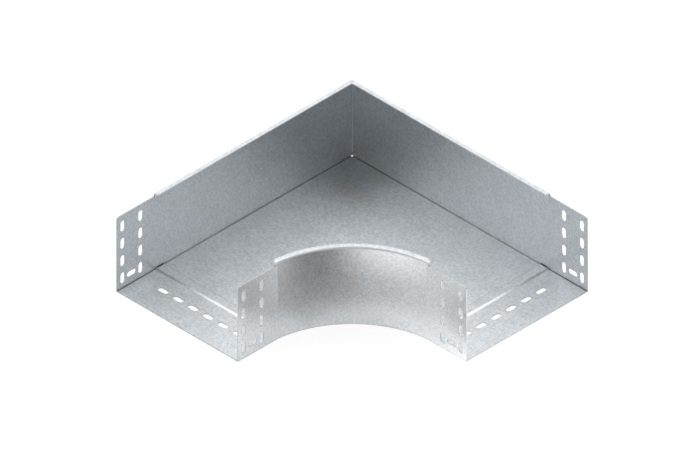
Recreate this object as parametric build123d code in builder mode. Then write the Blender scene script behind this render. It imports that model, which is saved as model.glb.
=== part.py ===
from build123d import *
import math
import os

# A flat ninety degree bend for a cable tray, folded from galvanised sheet, in millimetres.
# The outer corner is at minus X and plus Y. One leg opens to the front, the other to the right.
# Z is up from the underside, and the origin is under the middle of the square that holds the bend.

# Sheet and folds
sheet = 1.25
bend_inside = 1.0
bend_outside = bend_inside + sheet

# The tray that the bend joins, and the room left for it between the sides
tray_width = 200.0
tray_fit = 0.9

# Plan of the bend, whose curve starts at a slight crease
bend_radius = 141.0
crease_angle = 6.5
crease_radius = 6.0
flat_length = 65.75

# Heights of the sides
side_height = 111.5
tongue_height = 107.0

# Lips along the top of the sides
lip_width = 7.2
lip_start = 63.0
lip_corner = 4.2

# Where the walls meet at the outer corner
corner_seam = 0.1
relief_diameter = 2.8
relief_inset = 1.9

# Tongues that take the next tray
tongue_corner = 4.0
floor_start = 67.5
notch_width = 1.5

# Joint plates, stepped up over the edge of the floor
plate_length = 77.7
plate_gap = bend_inside
step_start = 63.5
step_end = 66.3

# Slots
slot_width = 7.0
slot_length = 15.0
slot_inset = 9.5
column_pitch = 30.0
row_pitch = 25.0
row_count = 4
lowest_row = 15.7
floor_slot_pitch = 25.0
floor_slot_count = 6

# Edge of the floor, turned up behind the curved wall
flange_height = 12.0
flange_gap = 0.3
plate_clearance = 1.5

# Sizes that follow
crease = math.radians(crease_angle)
middle = math.radians(45)
leg_width = tray_width + tray_fit + 2 * sheet
crease_reach = bend_radius - crease_radius
inner_length = flat_length + crease_radius + crease_reach * (math.cos(crease) - math.sin(crease))
length = leg_width + inner_length
half = length / 2
inner_side = leg_width - half
mid_height = side_height / 2
arc_place = half - flat_length + crease_reach * math.sin(crease)
arc_centre = (arc_place, -arc_place, 0)
arc_axis = Axis(arc_centre, (0, 0, -1))
flange_radius = bend_radius + sheet + flange_gap
flange_angle = math.asin((plate_length + plate_clearance - half + arc_place) / bend_radius)
slot_column = slot_inset + column_pitch / 2
slot_row = lowest_row + (row_count - 1) * row_pitch / 2
diagonal = Plane(origin=(0, 0, 0), z_dir=(1, 1, 0))


def folded_strip(plane, *corners):
    """One thickness of sheet along a line of folds, seen end on, to the right of that line."""
    with BuildSketch(plane) as strip:
        with BuildLine():
            FilletPolyline(*corners, radius=bend_outside)
            offset(amount=sheet, side=Side.RIGHT)
        make_face()
    return strip.sketch


def radial_plane(angle):
    """A section through the arc's centre, turned by an angle from square across the front leg."""
    across = (-math.cos(angle), math.sin(angle), 0)
    along = (math.sin(angle), math.cos(angle), 0)
    return Plane(origin=arc_centre, x_dir=across, z_dir=along)


def leg_plane(distance):
    """A section square across the front leg, this far from its end, with the inner wall at the arc's radius."""
    return Plane(origin=(inner_side + bend_radius, distance - half, 0), x_dir=(-1, 0, 0), z_dir=(0, 1, 0))


def tongue_outline(face, run):
    """A side's slotted tongue, with its top corner rounded at the open end."""
    with BuildSketch(face) as tongue:
        with Locations((-half, 0)):
            Rectangle(run, tongue_height, align=(Align.MIN, Align.MIN))
        fillet(tongue.vertices().group_by(Axis.Y)[-1].sort_by(Axis.X)[0], tongue_corner)
        with Locations((slot_column - half, slot_row)):
            with GridLocations(column_pitch, row_pitch, 2, row_count):
                SlotOverall(slot_length, slot_width, rotation=90, mode=Mode.SUBTRACT)
        with Locations((slot_column - half, lowest_row)):
            SlotOverall(slot_length, slot_width, mode=Mode.SUBTRACT)
    return tongue.sketch


# Floor and both outer walls, folded from one blank that is open at the corner
with BuildPart() as tray_body:
    wall_face = Plane.YZ.offset(-half)
    extrude(tongue_outline(wall_face, floor_start - notch_width), amount=sheet)
    with BuildSketch(wall_face):
        with Locations((lip_start - half, bend_outside)):
            Rectangle(floor_start - lip_start, mid_height, align=(Align.MIN, Align.MIN))
    extrude(amount=sheet)
    top_line = [(-half, mid_height), (-half, side_height), (lip_width - half, side_height)]
    lip = folded_strip(Plane.XZ.offset(half - floor_start), *top_line)
    extrude(lip, amount=floor_start - lip_start)
    wall_line = [(lip_width - half, 0), (-half, 0), *top_line[1:]]
    wall = folded_strip(Plane.XZ.offset(-half), *wall_line)
    extrude(wall, amount=length - floor_start)
    split(bisect_by=diagonal.offset(-corner_seam / 2), keep=Keep.BOTTOM)
    mirror(about=diagonal)
    with BuildSketch():
        with Locations((bend_outside - half, floor_start - half)):
            floor_length = length - floor_start - bend_outside
            Rectangle(floor_length, floor_length, align=(Align.MIN, Align.MIN))
        with Locations(arc_centre):
            Circle(flange_radius, mode=Mode.SUBTRACT)
    extrude(amount=sheet)
    flange_arc = 90 - 2 * math.degrees(flange_angle)
    with BuildSketch(radial_plane(flange_angle)):
        with Locations((flange_radius, 0)):
            Rectangle(bend_outside, sheet, align=(Align.MIN, Align.MIN))
    revolve(axis=arc_axis, revolution_arc=flange_arc, mode=Mode.SUBTRACT)
    flange_line = [(flange_radius + 2 * bend_outside, 0), (flange_radius, 0), (flange_radius, flange_height)]
    revolve(folded_strip(radial_plane(flange_angle), *flange_line), axis=arc_axis, revolution_arc=flange_arc)
    with BuildSketch():
        with Locations((relief_inset - half, half - relief_inset)):
            Circle(relief_diameter / 2)
    extrude(amount=2 * bend_outside, mode=Mode.SUBTRACT)
tray_body.part.label = "tray_body"

# Curved wall between two flat tongues, with its lip turned over the tray
with BuildPart() as inner_wall:
    crease_axis = Axis((inner_side + crease_radius, flat_length - half, 0), (0, 0, -1))
    extrude(tongue_outline(Plane.YZ.offset(inner_side - sheet), flat_length), amount=sheet)
    top_line = [(bend_radius, mid_height), (bend_radius, side_height), (bend_radius + lip_width, side_height)]
    extrude(folded_strip(leg_plane(lip_start), *top_line), amount=flat_length - lip_start)
    with BuildSketch(leg_plane(flat_length)):
        with Locations((bend_radius, 0)):
            Rectangle(sheet, mid_height, align=(Align.MIN, Align.MIN))
    revolve(axis=crease_axis, revolution_arc=crease_angle)
    revolve(folded_strip(leg_plane(flat_length), *top_line), axis=crease_axis, revolution_arc=crease_angle)
    half_arc = math.degrees(middle - crease)
    with BuildSketch(radial_plane(crease)):
        with Locations((bend_radius, 0)):
            Rectangle(sheet, mid_height, align=(Align.MIN, Align.MIN))
    revolve(axis=arc_axis, revolution_arc=half_arc)
    revolve(folded_strip(radial_plane(crease), *top_line), axis=arc_axis, revolution_arc=half_arc)
    with BuildSketch(Plane.XY.offset(side_height - sheet)):
        with Locations((inner_side - lip_width, lip_start - half)):
            Polygon((0, 0), (lip_corner, 0), (0, lip_corner), align=None)
    extrude(amount=sheet, mode=Mode.SUBTRACT)
    mirror(about=diagonal)
inner_wall.part.label = "inner_wall"

# Slotted plate at the front end, lying between the tongues and over the floor's edge
with BuildPart() as front_joint_plate:
    plate_side = sheet + plate_gap - half
    plate_width = leg_width - 2 * (sheet + plate_gap)
    underside = [(-half, 0), (step_start - half, 0), (step_end - half, sheet), (plate_length - half, sheet)]
    extrude(folded_strip(Plane.YZ.offset(plate_side), *reversed(underside)), amount=plate_width)
    with BuildSketch():
        with Locations((plate_side + plate_width / 2, slot_inset + column_pitch - half)):
            with GridLocations(floor_slot_pitch, 0, floor_slot_count, 1):
                SlotOverall(slot_length, slot_width)
    extrude(amount=sheet, mode=Mode.SUBTRACT)
front_joint_plate.part.label = "front_joint_plate"

# The same plate at the right end
with BuildPart() as right_joint_plate:
    mirror(front_joint_plate.part, about=diagonal)
right_joint_plate.part.label = "right_joint_plate"

os.makedirs("parts", exist_ok=True)
export_step(tray_body.part, "parts/tray_body.step")
export_step(inner_wall.part, "parts/inner_wall.step")
export_step(front_joint_plate.part, "parts/front_joint_plate.step")
export_step(right_joint_plate.part, "parts/right_joint_plate.step")
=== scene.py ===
import math

import bpy
from mathutils import Matrix, Vector

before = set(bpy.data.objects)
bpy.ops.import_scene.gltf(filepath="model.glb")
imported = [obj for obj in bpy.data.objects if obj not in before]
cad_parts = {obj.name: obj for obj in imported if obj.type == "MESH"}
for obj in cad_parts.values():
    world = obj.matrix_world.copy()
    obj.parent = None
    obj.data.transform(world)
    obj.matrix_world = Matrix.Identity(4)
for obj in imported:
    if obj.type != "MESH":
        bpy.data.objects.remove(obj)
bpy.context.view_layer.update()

# The view is parallel, from the front right, along the diagonal of a cube
VIEW_AZIMUTH = math.radians(45)
VIEW_ELEVATION = math.atan(math.sqrt(0.5))
PIXELS_PER_METRE = 847.1
ORIGIN_RIGHT_PX = 2.15
ORIGIN_DOWN_PX = 66.63
IMAGE_WIDTH_PX = 700
CAMERA_DISTANCE = 3.0

# Zinc, between two tones
ZINC_TINT = (0.972, 1.0, 1.025)
ZINC_DARK = 0.65
ZINC_PALE = 0.88

# Its grain in three sizes, each as scale, detail and roughness, and the share of each in the tone
CLOUD = (30.0, 2.0, 0.5)
MOTTLE = (300.0, 2.0, 0.6)
GRAIN = (1000.0, 1.0, 0.5)
CLOUD_SHARE = 0.12
MOTTLE_SHARE = 0.44
GRAIN_SHARE = 0.44
TONE_SPAN = (0.40, 0.60)
BUMP_STRENGTH = 0.12
BUMP_HEIGHT = 0.0002

# Its gloss, which follows the mottle
MOTTLE_SPAN = (0.3, 0.7)
ROUGHNESS_SPAN = (0.40, 0.49)

# Edges, rounded in the shading only
EDGE_RADIUS = 0.0004
EDGE_SAMPLES = 4

# Painted shade: inner corners go dark, except at the foot, where the sheet meets the ground
CREASE_REACH = 0.0018
CREASE_SAMPLES = 16
CREASE_SPAN = (0.73, 0.95)
FOOT_HEIGHT = 0.0012

# Cut edges go a little darker
CUT_REACH = 0.0013
CUT_SAMPLES = 12
CUT_SPAN = (0.55, 0.80)
CUT_TONE = 0.80

# A painted highlight: the seam at the outer corner shows pale above its relief hole
SEAM_PLACE = (-0.19575, 0.19575, 0.0)
SEAM_REACH = 0.0007
SEAM_FOOT = 0.006
SEAM_HIGHLIGHT_TONE = 0.97

# Painted highlight: the folds along the top and the lips' cut edges are pale and dull, but the lips' flat
# tops aren't
FOLD_START = 0.1087
FOLD_UPWARD_SPAN = (0.80, 0.97)
FOLD_HIGHLIGHT_TONE = 0.97

# The ground, just below the part, as it is seen and as it lights the part
FLOOR_SIZE = 14.0
FLOOR_DROP = 0.0004
FLOOR_DIFFUSE = 0.8
FLOOR_SHADED_SHARE = 0.25
FLOOR_GLOW = 0.89

# The ground as the sheet mirrors it, which gets brighter along one heading
MIRRORED_LEAST = 0.85
MIRRORED_MOST = 2.50
ARC_CENTRE = (0.1465, -0.1465, 0.0)
BRIGHT_HEADING = -29.0
BRIGHT_REACH = 0.12

# It is dark in a wedge that starts in the hollow of the curved wall and spreads to the right
SHADE_PLACE = (0.046, -0.095, 0.0)
SHADE_HEADING = -7.5
SHADE_SPREAD = 0.53
SHADE_SOFTNESS = 0.03

# The sky, a slope of light that fades out towards one heading
SKY_TINT = (0.97, 0.99, 1.0)
SKY_LEVEL = 1.45
SKY_SLOPE = (0.0, 0.22, -1.22)
DARK_HEADING = -17.0
DARK_SPAN = (0.02, 0.85)
OVERHEAD_SPAN = (0.70, 0.82)
OVERHEAD_LEVEL = 0.36

# Two soft boxes, high up behind the left wall and behind the right wall
SOFTBOXES = ((-0.586, -0.051, 0.809), (0.051, 0.586, 0.809))
SOFTBOX_LEVEL = 1.9
SOFTBOX_SPAN = (math.cos(math.radians(24)), math.cos(math.radians(12)))


class Tree:
    """A node tree that is written one line per node."""

    def __init__(self, owner):
        owner.use_nodes = True
        self.tree = owner.node_tree
        self.tree.nodes.clear()

    def add(self, kind, inputs=(), **settings):
        node = self.tree.nodes.new(kind)
        for name, value in settings.items():
            setattr(node, name, value)
        for name, value in dict(inputs).items():
            socket = node.inputs[name]
            if isinstance(value, bpy.types.NodeSocket):
                self.tree.links.new(value, socket)
            else:
                socket.default_value = value
        return node

    def math(self, operation, a, b=0.0):
        return self.add("ShaderNodeMath", {0: a, 1: b}, operation=operation).outputs[0]

    def vector(self, operation, a, b):
        return self.add("ShaderNodeVectorMath", {0: a, 1: b}, operation=operation).outputs["Vector"]

    def dot(self, a, b):
        return self.add("ShaderNodeVectorMath", {0: a, 1: b}, operation="DOT_PRODUCT").outputs["Value"]

    def length(self, a):
        return self.add("ShaderNodeVectorMath", {0: a}, operation="LENGTH").outputs["Value"]

    def height(self, a):
        return self.add("ShaderNodeSeparateXYZ", {0: a}).outputs["Z"]

    def blend(self, factor, a, b):
        """A mix of two numbers."""
        return self.add("ShaderNodeMix", {0: factor, 2: a, 3: b}, data_type="FLOAT").outputs[0]

    def blend_colour(self, factor, a, b):
        """A mix of two colours."""
        return self.add("ShaderNodeMix", {0: factor, 6: a, 7: b}, data_type="RGBA").outputs[2]

    def noise(self, where, scale, detail, roughness):
        inputs = {"Vector": where, "Scale": scale, "Detail": detail, "Roughness": roughness}
        return self.add("ShaderNodeTexNoise", inputs).outputs["Fac"]

    def occlusion(self, reach, samples, **settings):
        """How open the surroundings are, from 0 to 1."""
        node = self.add("ShaderNodeAmbientOcclusion", {"Distance": reach}, samples=samples, **settings)
        return node.outputs["AO"]

    def remap(self, value, low, high, new_low, new_high):
        node = self.add("ShaderNodeMapRange", {0: value, 1: low, 2: high, 3: new_low, 4: new_high})
        return node.outputs[0]


def grey(value, tint=(1.0, 1.0, 1.0)):
    return (value * tint[0], value * tint[1], value * tint[2], 1.0)


def heading(degrees):
    """A level direction, in degrees from plus X towards plus Y."""
    angle = math.radians(degrees)
    return (math.cos(angle), math.sin(angle), 0.0)


def painted_corner_shade_and_dark_cut_edges(t, height):
    """1 on open sheet, less on cut edges and down to 0 in inner corners, where it paints shade."""
    crease_shade = t.remap(t.occlusion(CREASE_REACH, CREASE_SAMPLES), *CREASE_SPAN, 0.0, 1.0)
    thin = t.occlusion(CUT_REACH, CUT_SAMPLES, inside=True, only_local=True)
    cut = t.remap(thin, *CUT_SPAN, CUT_TONE, 1.0)
    above_foot = t.remap(height, 0.0, FOOT_HEIGHT, 0.0, 1.0)
    return t.blend(above_foot, 1.0, t.math("MULTIPLY", crease_shade, cut))


# Where the painted highlight along the corner seam goes
def seam_highlight_mask(t, where, height):
    beside = t.vector("MULTIPLY", t.vector("SUBTRACT", where, SEAM_PLACE), (1.0, 1.0, 0.0))
    near = t.math("LESS_THAN", t.length(beside), SEAM_REACH)
    return t.math("MULTIPLY", near, t.math("GREATER_THAN", height, SEAM_FOOT))


# Where the painted highlight on the folds goes
def fold_highlight_mask(t, height):
    upward = t.height(t.add("ShaderNodeNewGeometry").outputs["Normal"])
    turned = t.remap(upward, *FOLD_UPWARD_SPAN, 1.0, 0.0)
    return t.math("MULTIPLY", t.math("GREATER_THAN", height, FOLD_START), turned)


def galvanised_sheet():
    material = bpy.data.materials.new("galvanised_sheet")
    t = Tree(material)
    where = t.add("ShaderNodeTexCoord").outputs["Object"]
    height = t.height(where)
    cloud = t.math("MULTIPLY", t.noise(where, *CLOUD), CLOUD_SHARE)
    mottle = t.noise(where, *MOTTLE)
    grain = t.math("MULTIPLY", t.noise(where, *GRAIN), GRAIN_SHARE)
    tone = t.math("ADD", cloud, t.math("MULTIPLY", mottle, MOTTLE_SHARE))
    tone = t.math("ADD", tone, grain)
    shade = t.remap(tone, *TONE_SPAN, 0.0, 1.0)
    clean = t.blend_colour(shade, grey(ZINC_DARK, ZINC_TINT), grey(ZINC_PALE, ZINC_TINT))
    # Painted shade: inner corners blend towards black, and cut edges go a little darker
    colour = t.blend_colour(painted_corner_shade_and_dark_cut_edges(t, height), grey(0.0), clean)
    # Painted highlight: a pale line along the corner seam
    colour = t.blend_colour(seam_highlight_mask(t, where, height), colour, grey(SEAM_HIGHLIGHT_TONE, ZINC_TINT))
    # Painted highlight: the folds turn pale and lose their metal, which stands in for a bright reflection
    fold_highlight = fold_highlight_mask(t, height)
    colour = t.blend_colour(fold_highlight, colour, grey(FOLD_HIGHLIGHT_TONE, ZINC_TINT))
    edge = t.add("ShaderNodeBevel", {"Radius": EDGE_RADIUS}, samples=EDGE_SAMPLES).outputs[0]
    relief = {"Strength": BUMP_STRENGTH, "Distance": BUMP_HEIGHT, "Height": tone, "Normal": edge}
    shader = t.add("ShaderNodeBsdfPrincipled", {
        "Base Color": colour,
        "Metallic": t.math("SUBTRACT", 1.0, fold_highlight),
        "Roughness": t.remap(mottle, *MOTTLE_SPAN, *ROUGHNESS_SPAN),
        "Normal": t.add("ShaderNodeBump", relief).outputs[0],
    })
    t.add("ShaderNodeOutputMaterial", {"Surface": shader.outputs[0]})
    return material


def mirrored_floor(t):
    """The ground's glow as the sheet mirrors it."""
    where = t.add("ShaderNodeNewGeometry").outputs["Position"]
    gain = t.dot(t.vector("SUBTRACT", where, ARC_CENTRE), heading(BRIGHT_HEADING))
    bright = t.remap(gain, -BRIGHT_REACH, BRIGHT_REACH, MIRRORED_LEAST, MIRRORED_MOST)
    offset = t.vector("SUBTRACT", where, SHADE_PLACE)
    ahead = t.dot(offset, heading(SHADE_HEADING))
    aside = t.dot(offset, heading(SHADE_HEADING + 90))
    depth = t.math("SUBTRACT", t.math("MULTIPLY", ahead, SHADE_SPREAD), t.math("ABSOLUTE", aside))
    lit = t.remap(depth, -SHADE_SOFTNESS / 2, SHADE_SOFTNESS / 2, 1.0, 0.0)
    return t.math("MULTIPLY", bright, lit)


def floor_material():
    material = bpy.data.materials.new("studio_floor")
    t = Tree(material)
    path = t.add("ShaderNodeLightPath")
    seen = t.math("MAXIMUM", path.outputs["Is Camera Ray"], path.outputs["Is Transmission Ray"])
    mirrored = path.outputs["Is Glossy Ray"]
    plain = t.add("ShaderNodeBsdfDiffuse", {"Color": grey(FLOOR_DIFFUSE)}).outputs[0]
    shaded = t.add("ShaderNodeBsdfDiffuse", {"Color": grey(FLOOR_SHADED_SHARE)}).outputs[0]
    glow = t.add("ShaderNodeEmission", {"Color": grey(1.0), "Strength": FLOOR_GLOW}).outputs[0]
    pale = t.add("ShaderNodeAddShader", {0: shaded, 1: glow}).outputs[0]
    bright = t.add("ShaderNodeEmission", {"Color": grey(1.0), "Strength": mirrored_floor(t)}).outputs[0]
    surface = t.add("ShaderNodeMixShader", {0: seen, 1: plain, 2: pale}).outputs[0]
    surface = t.add("ShaderNodeMixShader", {0: mirrored, 1: surface, 2: bright}).outputs[0]
    t.add("ShaderNodeOutputMaterial", {"Surface": surface})
    return material


def studio_floor():
    reach = FLOOR_SIZE / 2
    corners = [(x * reach, y * reach, -FLOOR_DROP) for x, y in ((-1, -1), (1, -1), (1, 1), (-1, 1))]
    mesh = bpy.data.meshes.new("studio_floor")
    mesh.from_pydata(corners, [], [(0, 1, 2, 3)])
    mesh.materials.append(floor_material())
    floor = bpy.data.objects.new("studio_floor", mesh)
    bpy.context.scene.collection.objects.link(floor)


def studio_world():
    """Light on the part from all round, and plain white for the camera."""
    world = bpy.data.worlds.new("studio")
    bpy.context.scene.world = world
    t = Tree(world)
    seen = t.add("ShaderNodeLightPath").outputs["Is Camera Ray"]
    direction = t.add("ShaderNodeTexCoord").outputs["Generated"]
    level = t.math("ADD", t.dot(direction, SKY_SLOPE), SKY_LEVEL)
    level = t.math("MULTIPLY", level, t.remap(t.dot(direction, heading(DARK_HEADING)), *DARK_SPAN, 1.0, 0.0))
    level = t.math("ADD", level, t.remap(t.height(direction), *OVERHEAD_SPAN, 0.0, OVERHEAD_LEVEL))
    for place in SOFTBOXES:
        level = t.math("ADD", level, t.remap(t.dot(direction, place), *SOFTBOX_SPAN, 0.0, SOFTBOX_LEVEL))
    lit = t.add("ShaderNodeBackground", {"Color": grey(1.0, SKY_TINT), "Strength": level}).outputs[0]
    white = t.add("ShaderNodeBackground", {"Color": grey(1.0), "Strength": 1.0}).outputs[0]
    surface = t.add("ShaderNodeMixShader", {0: seen, 1: lit, 2: white}).outputs[0]
    t.add("ShaderNodeOutputWorld", {"Surface": surface})


def view_camera():
    to_camera = Vector((
        math.cos(VIEW_ELEVATION) * math.sin(VIEW_AZIMUTH),
        -math.cos(VIEW_ELEVATION) * math.cos(VIEW_AZIMUTH),
        math.sin(VIEW_ELEVATION),
    ))
    right = Vector((math.cos(VIEW_AZIMUTH), math.sin(VIEW_AZIMUTH), 0.0))
    up = to_camera.cross(right)
    target = (up * ORIGIN_DOWN_PX - right * ORIGIN_RIGHT_PX) / PIXELS_PER_METRE
    camera = bpy.data.cameras.new("view")
    camera.type = "ORTHO"
    camera.ortho_scale = IMAGE_WIDTH_PX / PIXELS_PER_METRE
    holder = bpy.data.objects.new("view", camera)
    turn = Matrix((right, up, to_camera)).transposed().to_4x4()
    holder.matrix_world = Matrix.Translation(target + to_camera * CAMERA_DISTANCE) @ turn
    bpy.context.scene.collection.objects.link(holder)
    bpy.context.scene.camera = holder


zinc = galvanised_sheet()
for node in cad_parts.values():
    node.data.materials.clear()
    node.data.materials.append(zinc)

studio_floor()
studio_world()
view_camera()
bpy.context.scene.view_settings.view_transform = "Standard"
